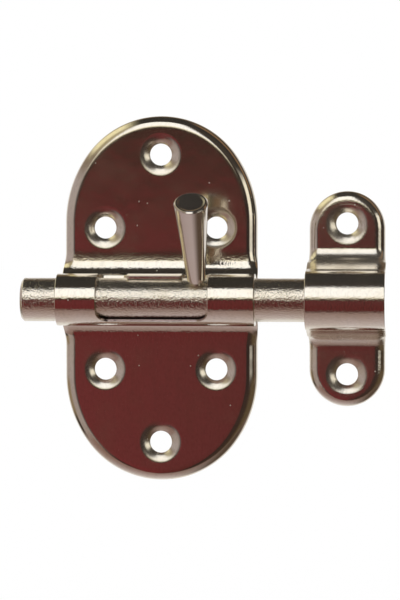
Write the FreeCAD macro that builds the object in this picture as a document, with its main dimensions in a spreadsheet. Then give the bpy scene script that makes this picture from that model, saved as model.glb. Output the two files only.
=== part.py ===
"""Surface door bolt: a pressed plate with a rolled barrel, a sliding bolt with a handle, and a keeper.

Millimetres. X runs along the bolt, Z is up, the door is the plane Y = 0 and the front faces -Y.
The origin is the middle of the plate's screw pattern. Angles round the barrel are counted from
the front, upwards.
"""

import FreeCAD, Part
import Sketcher
import math
import os
import re
from types import SimpleNamespace

# Driving dimensions

SIZES = {
    "sheet": 0.9,                # thickness of both pressed sheets
    "rod_diameter": 10.0,
    "rod_clearance": 0.1,        # between the bolt and the barrel, all round
    "axis_height": 12.0,         # of the bolt above the door
    # Back plate
    "plate_width": 45.0,
    "plate_length": 85.0,
    "plate_height": 2.5,         # of the plate's front face above the door
    "crown_less": 1.05,          # how much tighter the ends' middle arc is than half the width
    "shoulder_more": 4.5,        # how much larger their side arcs are than half the width
    "plate_rim": 2.3,            # radius of the turned-back rim
    "hole_diameter": 5.0,
    "dish_diameter": 9.2,        # dish pressed round each screw hole
    "dish_depth": 1.04,          # from the flat to the hole's front edge
    "dish_crest": 1.5,           # radius where the dish leaves the flat
    "side_hole_spacing": 26.0,
    "side_hole_rise": 33.0,
    "end_hole_rise": 67.0,
    # Barrel
    "barrel_length": 45.6,
    "channel_width": 7.2,        # inside the neck, behind the bolt
    "plate_bend": 4.8,           # outer radius of the concave bends beside the neck
    # Window and tongue
    "travel": 20.0,
    "window_low_angle": -55.0,
    "window_corner": 3.0,
    "tongue_angle": 67.5,        # the tongue's edge
    "notch_angle": 110.0,        # the notches' blind ends
    "notch_corner": 1.2,
    "right_stop_gap": 2.6,       # from the handle's middle to the window's right end
    "left_stop_gap": 3.0,
    "right_notch_width": 6.1,
    "left_notch_width": 6.8,
    # Bolt and handle
    "bolt_tail": 8.2,            # stands out of the barrel's left end
    "bolt_entry": 9.7,           # reaches into the keeper
    "bolt_chamfer": 0.6,
    "handle_angle": 53.0,        # at rest
    "handle_setback": 13.2,      # from the barrel's right end to the handle's middle
    "handle_reach": 27.9,        # from the bolt's axis to the handle's tip
    "handle_gap": 0.15,          # between the handle's foot and the barrel
    "foot_diameter": 4.2,
    "tip_diameter": 7.75,
    "tip_edge": 0.35,
    "neck_diameter": 2.2,
    "shank_depth": 4.0,          # of the handle's shank in the bolt
    "shank_gap": 0.02,           # round the shank in its hole
    # Friction clip
    "clip_thickness": 0.8,
    "clip_wall": 0.85,
    "clip_gap": 0.08,            # round the clip, in its groove and in the channel
    "clip_leg_end": 5.2,         # height of the legs' ends above the door
    # Keeper
    "keeper_distance": 11.5,     # from the barrel's right end to the keeper's arch
    "keeper_arch_width": 18.2,
    "keeper_lug_width": 17.6,
    "keeper_length": 50.0,
    "keeper_height": 2.2,
    "keeper_gap": 0.95,          # round the bolt inside the arch
    "keeper_bend": 5.1,
    "keeper_rim": 2.0,
    "keeper_hole_spacing": 35.0,
}

PAST = 5.0          # how far a cutter runs past what it cuts

X_AXIS = FreeCAD.Vector(1, 0, 0)
Y_AXIS = FreeCAD.Vector(0, 1, 0)

doc = FreeCAD.newDocument("door_bolt")
sheet = doc.addObject("Spreadsheet::Sheet", "sizes")
for row, (alias, number) in enumerate(SIZES.items(), start=1):
    sheet.set(f"A{row}", alias)
    sheet.set(f"B{row}", str(number))
    sheet.setAlias(f"B{row}", alias)
doc.recompute()
size = SimpleNamespace(**{alias: float(sheet.get(alias)) for alias in SIZES})

CELL = {alias: f"sizes.{alias}" for alias in SIZES}

# Formulas that several pieces share

BARREL_BORE = "(rod_diameter / 2 + rod_clearance)"
BARREL_OUTSIDE = "(rod_diameter / 2 + rod_clearance + sheet)"
HANDLE_X = "(barrel_length / 2 - handle_setback)"
WINDOW_LEFT = "(barrel_length / 2 - handle_setback - travel - left_stop_gap)"
WINDOW_RIGHT = "(barrel_length / 2 - handle_setback + right_stop_gap)"
BOLT_LEFT = "(-barrel_length / 2 - bolt_tail)"
BOLT_LENGTH = "(bolt_tail + barrel_length + keeper_distance + bolt_entry)"
CLIP_X = "(barrel_length / 2 - (handle_setback - right_stop_gap) / 2)"
KEEPER_X = "(barrel_length / 2 + keeper_distance + keeper_arch_width / 2)"
KEEPER_BORE = "(rod_diameter / 2 + keeper_gap)"
KEEPER_OUTSIDE = "(rod_diameter / 2 + keeper_gap + sheet)"
CLIP_INSIDE = "(rod_diameter / 2 - clip_wall)"
CLIP_LEG = "(channel_width / 2 - clip_gap - clip_wall)"
HANDLE_FOOT = "(rod_diameter / 2 + rod_clearance + sheet + handle_gap)"


def bind(thing, prop, formula):
    """Ties a property to a formula on the sheet's cells."""
    cells = re.sub(r"[a-z_]+", lambda word: CELL.get(word.group(), word.group()), formula)
    thing.setExpression(prop, cells)


def place(thing, **formulas):
    """Ties the parts of a thing's position that are named to formulas."""
    for axis, formula in formulas.items():
        bind(thing, f"Placement.Base.{axis}", formula)


def box(name, x, y, z, length, width, height):
    """A box whose lowest corner and sides are formulas."""
    made = doc.addObject("Part::Box", name)
    bind(made, "Length", length)
    bind(made, "Width", width)
    bind(made, "Height", height)
    place(made, x=x, y=y, z=z)
    return made


def bar(name, x, y, z, radius, length):
    """A cylinder along X that starts at x."""
    made = doc.addObject("Part::Cylinder", name)
    made.Placement = FreeCAD.Placement(FreeCAD.Vector(), FreeCAD.Rotation(Y_AXIS, 90))
    bind(made, "Radius", radius)
    bind(made, "Height", length)
    place(made, x=x, y=y, z=z)
    return made


def drill(name, x, z, diameter):
    """A cylinder along Y, through the sheet from the front to behind the door plane."""
    made = doc.addObject("Part::Cylinder", name)
    made.Placement = FreeCAD.Placement(FreeCAD.Vector(), FreeCAD.Rotation(X_AXIS, 90))
    bind(made, "Radius", f"{diameter} / 2")
    made.Height = 2 * PAST
    made.Placement.Base.y = PAST
    place(made, x=x, z=z)
    return made


def fuse(name, things):
    """The union of several things."""
    made = doc.addObject("Part::MultiFuse", name)
    made.Shapes = things
    made.Refine = True
    return made


def cut(name, base, tool):
    """One thing without another."""
    made = doc.addObject("Part::Cut", name)
    made.Base = base
    made.Tool = tool
    return made


def new_body(name):
    """An empty part body."""
    made = doc.addObject("PartDesign::Body", name)
    made.Label = name
    return made


def origin_part(body, role):
    """One plane or axis of a body's own origin."""
    return next(part for part in body.Origin.OriginFeatures if part.Role == role)


def new_sketch(body, name, plane):
    """A sketch on one of a body's origin planes."""
    made = body.newObject("Sketcher::SketchObject", name)
    made.AttachmentSupport = (origin_part(body, plane), [""])
    made.MapMode = "FlatFace"
    return made


def constrain(sketch, kind, *where, formula=None, start=None):
    """Adds a constraint, and ties its value to a formula where it has one."""
    if formula is None:
        sketch.addConstraint(Sketcher.Constraint(kind, *where))
        return
    index = sketch.addConstraint(Sketcher.Constraint(kind, *where, start))
    bind(sketch, f"Constraints[{index}]", formula)


def polygon(body, name, plane, corners):
    """A closed sketch of straight lines. Each corner is two formulas, and "0" puts it on an axis."""
    sketch = new_sketch(body, name, plane)
    count = len(corners)
    turn = 2 * math.pi / count
    start = [FreeCAD.Vector(10 * math.cos(i * turn), 10 * math.sin(i * turn), 0) for i in range(count)]
    for i in range(count):
        sketch.addGeometry(Part.LineSegment(start[i], start[(i + 1) % count]), False)
    for i, (across, up) in enumerate(corners):
        constrain(sketch, "Coincident", i, 2, (i + 1) % count, 1)
        if across == "0":
            constrain(sketch, "PointOnObject", i, 1, -2)
        else:
            constrain(sketch, "DistanceX", -1, 1, i, 1, formula=across, start=start[i].x)
        if up == "0":
            constrain(sketch, "PointOnObject", i, 1, -1)
        else:
            constrain(sketch, "DistanceY", -1, 1, i, 1, formula=up, start=start[i].y)
    return sketch


def disc(body, name, plane, radius, x=None):
    """A sketch of one circle, at the origin or at x along the horizontal axis."""
    sketch = new_sketch(body, name, plane)
    sketch.addGeometry(Part.Circle(FreeCAD.Vector(1, 0, 0), FreeCAD.Vector(0, 0, 1), 1), False)
    constrain(sketch, "Radius", 0, formula=radius, start=1)
    if x is None:
        constrain(sketch, "Coincident", 0, 3, -1, 1)
    else:
        constrain(sketch, "PointOnObject", 0, 3, -1)
        constrain(sketch, "DistanceX", -1, 1, 0, 3, formula=x, start=1)
    return sketch


def arc(centre_x, centre_y, radius, start, end):
    """An arc of a circle between two angles in radians."""
    circle = Part.Circle(FreeCAD.Vector(centre_x, centre_y, 0), FreeCAD.Vector(0, 0, 1), radius)
    return Part.ArcOfCircle(circle, start, end)


def line(x0, y0, x1, y1):
    """A straight piece of a sketch."""
    return Part.LineSegment(FreeCAD.Vector(x0, y0, 0), FreeCAD.Vector(x1, y1, 0))


def join_smoothly(sketch, count):
    """Makes each of the first count pieces run tangent into the next, all the way round."""
    for i in range(count):
        constrain(sketch, "Tangent", i, 2, (i + 1) % count, 1)


def oval_sketch(body, name, inset):
    """The plate's outline, moved in by a formula: straight sides, side arcs and an arc at each end."""
    moved_in = 0.0 if inset == "0" else size.sheet
    half_width = size.plate_width / 2 - moved_in
    half_length = size.plate_length / 2 - moved_in
    crown = half_width - size.crown_less
    shoulder = half_width + size.shoulder_more
    shoulder_x = size.shoulder_more
    crown_y = half_length - crown
    shoulder_y = crown_y - math.sqrt((shoulder - crown) ** 2 - shoulder_x ** 2)
    meet = math.atan2(crown_y - shoulder_y, shoulder_x)
    sketch = new_sketch(body, name, "XZ_Plane")
    pi = math.pi
    sketch.addGeometry([
        line(half_width, -shoulder_y, half_width, shoulder_y),
        arc(-shoulder_x, shoulder_y, shoulder, 0, meet),
        arc(0, crown_y, crown, meet, pi - meet),
        arc(shoulder_x, shoulder_y, shoulder, pi - meet, pi),
        line(-half_width, shoulder_y, -half_width, -shoulder_y),
        arc(shoulder_x, -shoulder_y, shoulder, pi, pi + meet),
        arc(0, -crown_y, crown, pi + meet, 2 * pi - meet),
        arc(-shoulder_x, -shoulder_y, shoulder, 2 * pi - meet, 2 * pi),
    ], False)
    join_smoothly(sketch, 8)
    for other in (3, 5, 7):
        constrain(sketch, "Equal", 1, other)
    constrain(sketch, "Equal", 2, 6)
    constrain(sketch, "PointOnObject", 2, 3, -2)
    constrain(sketch, "PointOnObject", 6, 3, -2)
    constrain(sketch, "Vertical", 0)
    constrain(sketch, "Vertical", 4)
    width = f"(plate_width / 2 - {inset})"
    rise = f"(plate_length / 2 - plate_width / 2 + crown_less)"
    constrain(sketch, "Radius", 2, formula=f"{width} - crown_less", start=crown)
    constrain(sketch, "Radius", 1, formula=f"{width} + shoulder_more", start=shoulder)
    constrain(sketch, "DistanceX", -1, 1, 0, 1, formula=width, start=half_width)
    constrain(sketch, "DistanceX", 4, 1, -1, 1, formula=width, start=half_width)
    constrain(sketch, "DistanceY", -1, 1, 2, 3, formula=rise, start=crown_y)
    constrain(sketch, "DistanceY", 6, 3, -1, 1, formula=rise, start=crown_y)
    return sketch


def lug_sketch(body, name, inset):
    """The keeper's outline, moved in by a formula: straight sides and half-round ends."""
    moved_in = 0.0 if inset == "0" else size.sheet
    half_width = size.keeper_lug_width / 2 - moved_in
    centre_y = size.keeper_length / 2 - size.keeper_lug_width / 2
    sketch = new_sketch(body, name, "XZ_Plane")
    pi = math.pi
    sketch.addGeometry([
        line(half_width, -centre_y, half_width, centre_y),
        arc(0, centre_y, half_width, 0, pi),
        line(-half_width, centre_y, -half_width, -centre_y),
        arc(0, -centre_y, half_width, pi, 2 * pi),
    ], False)
    join_smoothly(sketch, 4)
    constrain(sketch, "Equal", 1, 3)
    constrain(sketch, "PointOnObject", 1, 3, -2)
    constrain(sketch, "PointOnObject", 3, 3, -2)
    rise = "(keeper_length / 2 - keeper_lug_width / 2)"
    constrain(sketch, "Radius", 1, formula=f"(keeper_lug_width / 2 - {inset})", start=half_width)
    constrain(sketch, "DistanceY", -1, 1, 1, 3, formula=rise, start=centre_y)
    constrain(sketch, "DistanceY", 3, 3, -1, 1, formula=rise, start=centre_y)
    return sketch


def edges_at(feature, test):
    """The names of a feature's edges whose middle point passes a test."""
    edges = feature.Shape.Edges
    found = []
    for number, edge in enumerate(edges, start=1):
        middle = edge.valueAt((edge.FirstParameter + edge.LastParameter) / 2)
        if test(middle):
            found.append(f"Edge{number}")
    return found


def round_edges(body, name, feature, test, radius, kind="PartDesign::Fillet"):
    """A fillet or chamfer on the edges that pass a test."""
    doc.recompute()
    made = body.newObject(kind, name)
    made.Base = (feature, edges_at(feature, test))
    bind(made, "Radius" if kind == "PartDesign::Fillet" else "Size", radius)
    return made


def pressed_tray(name, draw, height_formula, rim_formula):
    """A shallow sheet tray, open at the door: an outline with a rounded rim, less the same moved in."""
    solids = []
    for part, inset in (("outside", "0"), ("inside", "sheet")):
        body = new_body(f"{name}_{part}")
        sketch = draw(body, f"{name}_{part}_outline", inset)
        pad = body.newObject("PartDesign::Pad", f"{name}_{part}_pad")
        pad.Profile = sketch
        bind(pad, "Length", f"{height_formula} - {inset}")
        doc.recompute()
        front = pad.Shape.BoundBox.YMin
        round_edges(body, f"{name}_{part}_rim", pad, lambda point: abs(point.y - front) < 0.001,
                    f"{rim_formula} - {inset}")
        solids.append(body)
    doc.recompute()
    return cut(f"{name}_tray", *solids)


def formed_middle(name, width, height, bend, bore, outside, channel):
    """The sheet where it leaves the flats, bends out and runs round the bolt, as wide as asked.

    Its outside is a block as high as the flats with a tube on a neck, less two cylinders that form
    the concave bends. Its inside is the same, one sheet further in.
    """
    neck = f"({channel} / 2 + sheet)"
    reach = f"({neck} + {bend})"
    start = f"-{width} / 2"
    rise = f"({height} + {bend})"
    outer_block = box(f"{name}_block", start, f"-{rise}", f"-{reach}", width, rise, f"2 * {reach}")
    outer_neck = box(f"{name}_neck", start, "-axis_height", f"-{neck}",
                     width, f"axis_height - {height}", f"2 * {neck}")
    outer_tube = bar(f"{name}_tube", start, "-axis_height", "0 * sheet", outside, width)
    inner_block = box(f"{name}_hollow", f"{start} - sheet", f"-{rise}", f"-{reach}",
                      f"{width} + 2 * sheet", f"{rise} + sheet", f"2 * {reach}")
    inner_neck = box(f"{name}_channel", f"{start} - sheet", "-axis_height", f"-{channel} / 2",
                     f"{width} + 2 * sheet", "axis_height + sheet", channel)
    inner_tube = bar(f"{name}_bore", f"{start} - sheet", "-axis_height", "0 * sheet",
                     bore, f"{width} + 2 * sheet")
    outer_bends = []
    inner_bends = []
    for side, sign in (("upper", ""), ("lower", "-")):
        outer_bends.append(bar(f"{name}_{side}_bend", f"{start} - sheet", f"-{rise}",
                               f"{sign}{reach}", bend, f"{width} + 2 * sheet"))
        inner_bends.append(bar(f"{name}_{side}_back", f"{start} - 2 * sheet", f"-{rise}",
                               f"{sign}{reach}", f"{bend} + sheet", f"{width} + 4 * sheet"))
    outer_form = cut(f"{name}_outer_form", outer_block, fuse(f"{name}_bends", outer_bends))
    outer = fuse(f"{name}_outer", [outer_form, outer_neck, outer_tube])
    inner_form = cut(f"{name}_inner_form", inner_block, fuse(f"{name}_backs", inner_bends))
    inner = fuse(f"{name}_inner", [inner_form, inner_neck, inner_tube])
    return cut(f"{name}_middle", outer, inner), reach


def cut_band(name, tray, width, reach):
    """A tray without the band that its formed middle takes."""
    band = box(f"{name}_band", f"-{width}", f"-{PAST}", f"-{reach}",
               f"2 * {width}", str(2 * PAST), f"2 * {reach}")
    return cut(f"{name}_flats", tray, band)


def dish_body():
    """One dished ring of sheet, its front rim at Y = 0, that fills a hole as wide as the dish."""
    body = new_body("dish")
    rim = size.dish_diameter / 2
    hole = size.hole_diameter / 2
    crest = size.dish_crest
    back = crest - size.sheet
    to_centre = math.atan2(crest - size.dish_depth, rim - hole)
    slope = math.asin(crest / math.hypot(crest - size.dish_depth, rim - hole)) - to_centre
    crest_x = rim - crest * math.sin(slope)
    crest_y = crest * (1 - math.cos(slope))
    back_x = rim - back * math.sin(slope)
    back_y = crest - back * math.cos(slope)
    back_low = back_y + (back_x - hole) * math.tan(slope)
    up = 1.5 * math.pi
    sketch = new_sketch(body, "dish_profile", "XY_Plane")
    sketch.addGeometry([
        line(hole, size.dish_depth, crest_x, crest_y),
        arc(rim, crest, crest, up - slope, up),
        line(rim, 0, rim, size.sheet),
        arc(rim, crest, back, up - slope, up),
        line(back_x, back_y, hole, back_low),
        line(hole, back_low, hole, size.dish_depth),
    ], False)
    constrain(sketch, "Tangent", 0, 2, 1, 1)
    constrain(sketch, "Coincident", 1, 2, 2, 1)
    constrain(sketch, "Coincident", 2, 2, 3, 2)
    constrain(sketch, "Tangent", 3, 1, 4, 1)
    constrain(sketch, "Coincident", 4, 2, 5, 1)
    constrain(sketch, "Coincident", 5, 2, 0, 1)
    constrain(sketch, "Coincident", 1, 3, 3, 3)
    constrain(sketch, "Vertical", 2)
    constrain(sketch, "Vertical", 5)
    constrain(sketch, "Parallel", 0, 4)
    constrain(sketch, "PointOnObject", 1, 2, -1)
    constrain(sketch, "DistanceX", -1, 1, 1, 2, formula="dish_diameter / 2", start=rim)
    constrain(sketch, "DistanceX", -1, 1, 1, 3, formula="dish_diameter / 2", start=rim)
    constrain(sketch, "DistanceX", -1, 1, 0, 1, formula="hole_diameter / 2", start=hole)
    constrain(sketch, "DistanceY", -1, 1, 0, 1, formula="dish_depth", start=size.dish_depth)
    constrain(sketch, "DistanceY", 2, 1, 2, 2, formula="sheet", start=size.sheet)
    constrain(sketch, "Radius", 1, formula="dish_crest", start=crest)
    revolve(body, "dish_ring", sketch, "Y_Axis")
    return body


def revolve(body, name, sketch, axis, kind="PartDesign::Revolution", angle=None):
    """Turns a sketch about one of the body's own axes, all the way round or by a formula's angle."""
    made = body.newObject(kind, name)
    made.Profile = sketch
    made.ReferenceAxis = (origin_part(body, axis), [""])
    made.Angle = 360
    if angle:
        bind(made, "Angle", angle)
    return made


def with_dishes(name, base, dish, front, holes):
    """A pressed piece with a dished screw hole at each place, given as two formulas."""
    openings = []
    rings = []
    for number, (x, z) in enumerate(holes, start=1):
        openings.append(drill(f"{name}_opening_{number}", x, z, "dish_diameter"))
        ring = doc.addObject("App::Link", f"{name}_dish_{number}")
        ring.LinkedObject = dish
        place(ring, x=x, y=f"-{front}", z=z)
        rings.append(ring)
    opened = cut(f"{name}_opened", base, fuse(f"{name}_openings", openings))
    return fuse(f"{name}_dished", [opened, *rings])


def wall_cutter(name, left, right, top, low, corner, rounded):
    """A cutter through the barrel's front wall, from one sheet inside it to one sheet outside.

    top and low name the angles that it lies between, and rounded is the one with round corners.
    """
    body = new_body(name)
    inner = f"-({BARREL_BORE} - sheet)"
    outer = f"-({BARREL_OUTSIDE} + sheet)"
    section = polygon(body, f"{name}_section", "XY_Plane",
                      [(left, outer), (right, outer), (right, inner), (left, inner)])
    swept = revolve(body, f"{name}_sweep", section, "X_Axis", angle=f"{top} - {low}")
    corner_angle = getattr(size, top) - getattr(size, rounded)
    doc.recompute()
    bounds = swept.Shape.BoundBox

    def is_corner(point):
        at_end = min(point.x - bounds.XMin, bounds.XMax - point.x) < 0.001
        return at_end and abs(math.degrees(math.atan2(-point.z, -point.y)) - corner_angle) < 0.01

    round_edges(body, f"{name}_corners", swept, is_corner, corner)
    body.Placement = FreeCAD.Placement(FreeCAD.Vector(), FreeCAD.Rotation(X_AXIS, -getattr(size, top)))
    place(body, y="-axis_height")
    return body


def turned_body(name, x):
    """An empty body at x on the bolt's axis whose own Z points along the handle at rest."""
    body = new_body(name)
    body.Placement = FreeCAD.Placement(FreeCAD.Vector(), FreeCAD.Rotation(X_AXIS, 90 - size.handle_angle))
    place(body, x=x, y="-axis_height")
    return body


def make_barrel_plate(dish):
    """The pressed plate with its barrel, six dished screw holes, window, notches and tongue."""
    middle, reach = formed_middle("plate", "barrel_length", "plate_height", "plate_bend",
                                  BARREL_BORE, BARREL_OUTSIDE, "channel_width")
    tray = pressed_tray("plate", oval_sketch, "plate_height", "plate_rim")
    flats = cut_band("plate", tray, "plate_width", reach)
    pressed = fuse("plate_pressed", [flats, middle])
    signs = ("-", "")
    holes = [(f"{side}side_hole_spacing / 2", f"{end}side_hole_rise / 2") for side in signs for end in signs]
    holes += [("0 * sheet", f"{end}end_hole_rise / 2") for end in signs]
    dished = with_dishes("plate", pressed, dish, "plate_height", holes)
    cutters = [
        wall_cutter("window", WINDOW_LEFT, WINDOW_RIGHT,
                    "tongue_angle", "window_low_angle", "window_corner", "window_low_angle"),
        wall_cutter("left_notch", WINDOW_LEFT, f"{WINDOW_LEFT} + left_notch_width",
                    "notch_angle", "handle_angle", "notch_corner", "notch_angle"),
        wall_cutter("right_notch", f"{WINDOW_RIGHT} - right_notch_width", WINDOW_RIGHT,
                    "notch_angle", "handle_angle", "notch_corner", "notch_angle"),
    ]
    return cut("barrel_plate", dished, fuse("barrel_openings", cutters))


def make_bolt_rod():
    """The round bolt, with a groove for the clip and a blind hole for the handle's shank."""
    body = turned_body("bolt_rod", BOLT_LEFT)
    bar_pad = body.newObject("PartDesign::Pad", "rod_pad")
    bar_pad.Profile = disc(body, "rod_circle", "YZ_Plane", "rod_diameter / 2")
    bind(bar_pad, "Length", BOLT_LENGTH)
    doc.recompute()
    length = bar_pad.Shape.BoundBox.XMax
    round_edges(body, "rod_ends", bar_pad, lambda point: min(point.x, length - point.x) < 0.001,
                "bolt_chamfer", kind="PartDesign::Chamfer")
    clip_middle = f"{CLIP_X} - {BOLT_LEFT}"
    groove = [
        (f"{clip_middle} - clip_thickness / 2 - clip_gap", f"{CLIP_INSIDE} - clip_gap"),
        (f"{clip_middle} + clip_thickness / 2 + clip_gap", f"{CLIP_INSIDE} - clip_gap"),
        (f"{clip_middle} + clip_thickness / 2 + clip_gap", "rod_diameter"),
        (f"{clip_middle} - clip_thickness / 2 - clip_gap", "rod_diameter"),
    ]
    section = polygon(body, "groove_section", "XY_Plane", groove)
    revolve(body, "clip_groove", section, "X_Axis", kind="PartDesign::Groove")
    hole = body.newObject("PartDesign::Pocket", "shank_hole")
    hole.Profile = disc(body, "shank_circle", "XY_Plane", "neck_diameter / 2 + shank_gap",
                        x=f"{HANDLE_X} - {BOLT_LEFT}")
    hole.Reversed = True
    bind(hole, "Length", "rod_diameter")
    return body


def make_handle():
    """The turned handle: a shank in the bolt, a thin neck in the window and a tapered grip."""
    body = turned_body("handle", HANDLE_X)
    profile = polygon(body, "handle_profile", "XZ_Plane", [
        ("0", "rod_diameter / 2 - shank_depth"),
        ("neck_diameter / 2", "rod_diameter / 2 - shank_depth"),
        ("neck_diameter / 2", HANDLE_FOOT),
        ("foot_diameter / 2", HANDLE_FOOT),
        ("tip_diameter / 2", "handle_reach - tip_edge"),
        ("tip_diameter / 2 - tip_edge", "handle_reach"),
        ("0", "handle_reach"),
    ])
    revolve(body, "handle_turning", profile, "Z_Axis")
    return body


def make_friction_clip():
    """A stamped ring in the bolt's groove, open at the back, with two legs in the barrel's channel."""
    left = f"{CLIP_X} - clip_thickness / 2"
    leg_width = "clip_wall"
    ring = cut("clip_ring",
               bar("clip_outside", left, "-axis_height", "0 * sheet", "rod_diameter / 2", "clip_thickness"),
               bar("clip_inside", f"{left} - sheet", "-axis_height", "0 * sheet", CLIP_INSIDE,
                   "clip_thickness + 2 * sheet"))
    mouth = box("clip_mouth", f"{left} - sheet", "-axis_height", f"-{CLIP_LEG}",
                "clip_thickness + 2 * sheet", "rod_diameter", f"2 * {CLIP_LEG}")
    open_ring = cut("clip_open_ring", ring, mouth)
    leg_start = f"-axis_height + sqrt({CLIP_INSIDE} ^ 2 - {CLIP_LEG} ^ 2)"
    legs = []
    for side, low in (("upper", CLIP_LEG), ("lower", f"-{CLIP_LEG} - {leg_width}")):
        legs.append(box(f"clip_{side}_leg", left, leg_start, low,
                        "clip_thickness", f"-clip_leg_end - ({leg_start})", leg_width))
    return fuse("friction_clip", [open_ring, *legs])


def make_keeper(dish):
    """The keeper: an arch over the bolt between two lugs with a dished screw hole each."""
    middle, reach = formed_middle("keeper", "keeper_arch_width", "keeper_height", "keeper_bend",
                                  KEEPER_BORE, KEEPER_OUTSIDE, f"(2 * {KEEPER_BORE})")
    tray = pressed_tray("keeper", lug_sketch, "keeper_height", "keeper_rim")
    flats = cut_band("keeper", tray, "keeper_lug_width", reach)
    pressed = fuse("keeper_pressed", [flats, middle])
    holes = [("0 * sheet", f"{end}keeper_hole_spacing / 2") for end in ("-", "")]
    keeper = with_dishes("keeper", pressed, dish, "keeper_height", holes)
    place(keeper, x=KEEPER_X)
    return keeper


def check_and_write(parts):
    """Stops on a failed object or a bad shape, then writes each piece to its own file."""
    doc.recompute()
    failed = [thing.Name for thing in doc.Objects if {"Invalid", "Error"} & set(thing.State)]
    if failed:
        raise RuntimeError(f"these objects failed: {failed}")
    os.makedirs("parts", exist_ok=True)
    for name, thing in parts.items():
        thing.Label = name
        shape = thing.Shape
        if shape.isNull() or not shape.isValid() or not shape.Solids:
            raise RuntimeError(f"{name} has no valid shape")
        print(f"{name}: {len(shape.Solids)} solids, {shape.Volume:.1f} mm3")
        shape.exportStep(f"parts/{name}.step")


screw_dish = dish_body()
check_and_write({
    "barrel_plate": make_barrel_plate(screw_dish),
    "bolt_rod": make_bolt_rod(),
    "handle": make_handle(),
    "friction_clip": make_friction_clip(),
    "keeper": make_keeper(screw_dish),
})
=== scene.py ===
"""A surface door bolt in warm nickel plate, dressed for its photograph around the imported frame.

The CAD's frame holds: X runs along the bolt, Z is up, the door is the plane Y = 0 and the front faces
-Y. Sizes are in millimetres and become metres when a mesh is made. Angles round the barrel are counted
from the front, upwards.
"""

import logging
import math
from dataclasses import dataclass, field
from enum import Enum
from typing import Callable, Iterable, Sequence

import bpy
import numpy as np
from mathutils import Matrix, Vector, geometry, kdtree


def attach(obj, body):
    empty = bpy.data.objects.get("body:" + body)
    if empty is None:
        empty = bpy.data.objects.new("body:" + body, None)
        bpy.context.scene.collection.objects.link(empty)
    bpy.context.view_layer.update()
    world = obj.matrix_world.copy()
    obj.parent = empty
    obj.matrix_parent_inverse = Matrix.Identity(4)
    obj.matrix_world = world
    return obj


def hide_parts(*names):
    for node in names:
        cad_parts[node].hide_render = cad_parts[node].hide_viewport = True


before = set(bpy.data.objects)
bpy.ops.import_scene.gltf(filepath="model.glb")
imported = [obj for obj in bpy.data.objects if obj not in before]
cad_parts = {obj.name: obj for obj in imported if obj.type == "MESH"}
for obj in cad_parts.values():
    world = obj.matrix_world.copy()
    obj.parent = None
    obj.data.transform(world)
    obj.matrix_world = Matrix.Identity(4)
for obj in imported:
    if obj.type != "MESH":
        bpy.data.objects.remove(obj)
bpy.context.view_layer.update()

MM = 0.001  # metres in a millimetre
AXIS_Y = -12.0  # the bolt's axis, in front of the door
SHEET = 0.9  # thickness of both pressed sheets
EDGE = 0.15  # radius of the sheets' rounded edges
WELD = 1e-4  # points nearer than this are one point
CLEAR = 0.6  # least way from an outline to a point inside it, in steps of those points
BEND_STEP = 5.0  # degrees between two rows of points in a bend
TUBE_STEP = 3.0  # degrees between two rows round the bolt
CROWN = 1.0  # width of the slow fall before a sheet's rim
CROWN_TILT = math.radians(5.5)  # where the rim takes over
CROWN_STEPS, RIM_STEPS, DISH_STEPS, CREASE_STEPS = 6, 13, 15, 6  # faces across each

Array = np.ndarray
Tree = bpy.types.NodeTree
Socket = bpy.types.NodeSocket
Mesh = bpy.types.Mesh
Object = bpy.types.Object
Material = bpy.types.Material
Triple = tuple[float, float, float]
Colour = Triple
Point = tuple[float, float]
Arc = tuple[Point, float, float, float]  # middle, radius, first and last angle
Faces = list[tuple[int, ...]]

log = logging.getLogger("door_bolt")


# Node trees


def operator(operation: str) -> Callable:
    """Makes an operator of Value, which adds that Math node."""
    return lambda self, other: self.math(operation, other)


@dataclass(frozen=True)
class Value:
    """One number in a node tree, with operators that add Math nodes to it."""

    tree: Tree
    socket: Socket

    def math(self, operation: str, *others: "Value | float") -> "Value":
        """Adds a Math node with that operation on this number and others, and gives its result."""
        return Value(self.tree, add_node(self.tree, "ShaderNodeMath", dict(enumerate((self, *others))),
                                         operation=operation).outputs[0])

    __add__ = __radd__ = operator("ADD")
    __mul__ = __rmul__ = operator("MULTIPLY")
    __sub__ = operator("SUBTRACT")
    __truediv__ = operator("DIVIDE")

    def __neg__(self) -> "Value":
        """This number with its sign turned."""
        return self * -1.0

    def __rsub__(self, other: float) -> "Value":
        """A constant less this number."""
        return -self + other

    def step(self, low: float, high: float) -> "Value":
        """A smooth step.

        Args:
            low: where it is 0. It may be the larger one.
            high: where it is 1.

        Returns:
            A number from 0 to 1.
        """
        node = add_node(self.tree, "ShaderNodeMapRange",
                        {"Value": self, "From Min": min(low, high), "From Max": max(low, high)},
                        interpolation_type="SMOOTHSTEP")
        made = Value(self.tree, node.outputs[0])
        return made if low < high else 1.0 - made

    def band(self, low: float, high: float, soft: float) -> "Value":
        """A band with soft sides, 1 between low and high."""
        half = soft / 2
        return self.step(low - half, low + half) * self.step(high + half, high - half)


def add_node(tree: Tree, kind: str, inputs: dict | None = None, **settings: object) -> bpy.types.Node:
    """Adds one node to a tree.

    Args:
        tree: the node tree.
        kind: the node's type.
        inputs: values or links for its sockets, by name or number.
        settings: its properties, set before its sockets.

    Returns:
        The node.
    """
    node = tree.nodes.new(kind)
    for name, setting in settings.items():
        setattr(node, name, setting)
    for name, item in (inputs or {}).items():
        if isinstance(item, Value):
            item = item.socket
        if isinstance(item, Socket):
            tree.links.new(item, node.inputs[name])
        else:
            node.inputs[name].default_value = item
    return node


def split(tree: Tree, vector: Socket) -> list[Value]:
    """A vector's three numbers."""
    return [Value(tree, part) for part in add_node(tree, "ShaderNodeSeparateXYZ", {"Vector": vector}).outputs]


def distance(first: Value, second: Value) -> Value:
    """How far off a place is that lies so far away in two directions at right angles."""
    return (first * first + second * second).math("SQRT")


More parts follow.
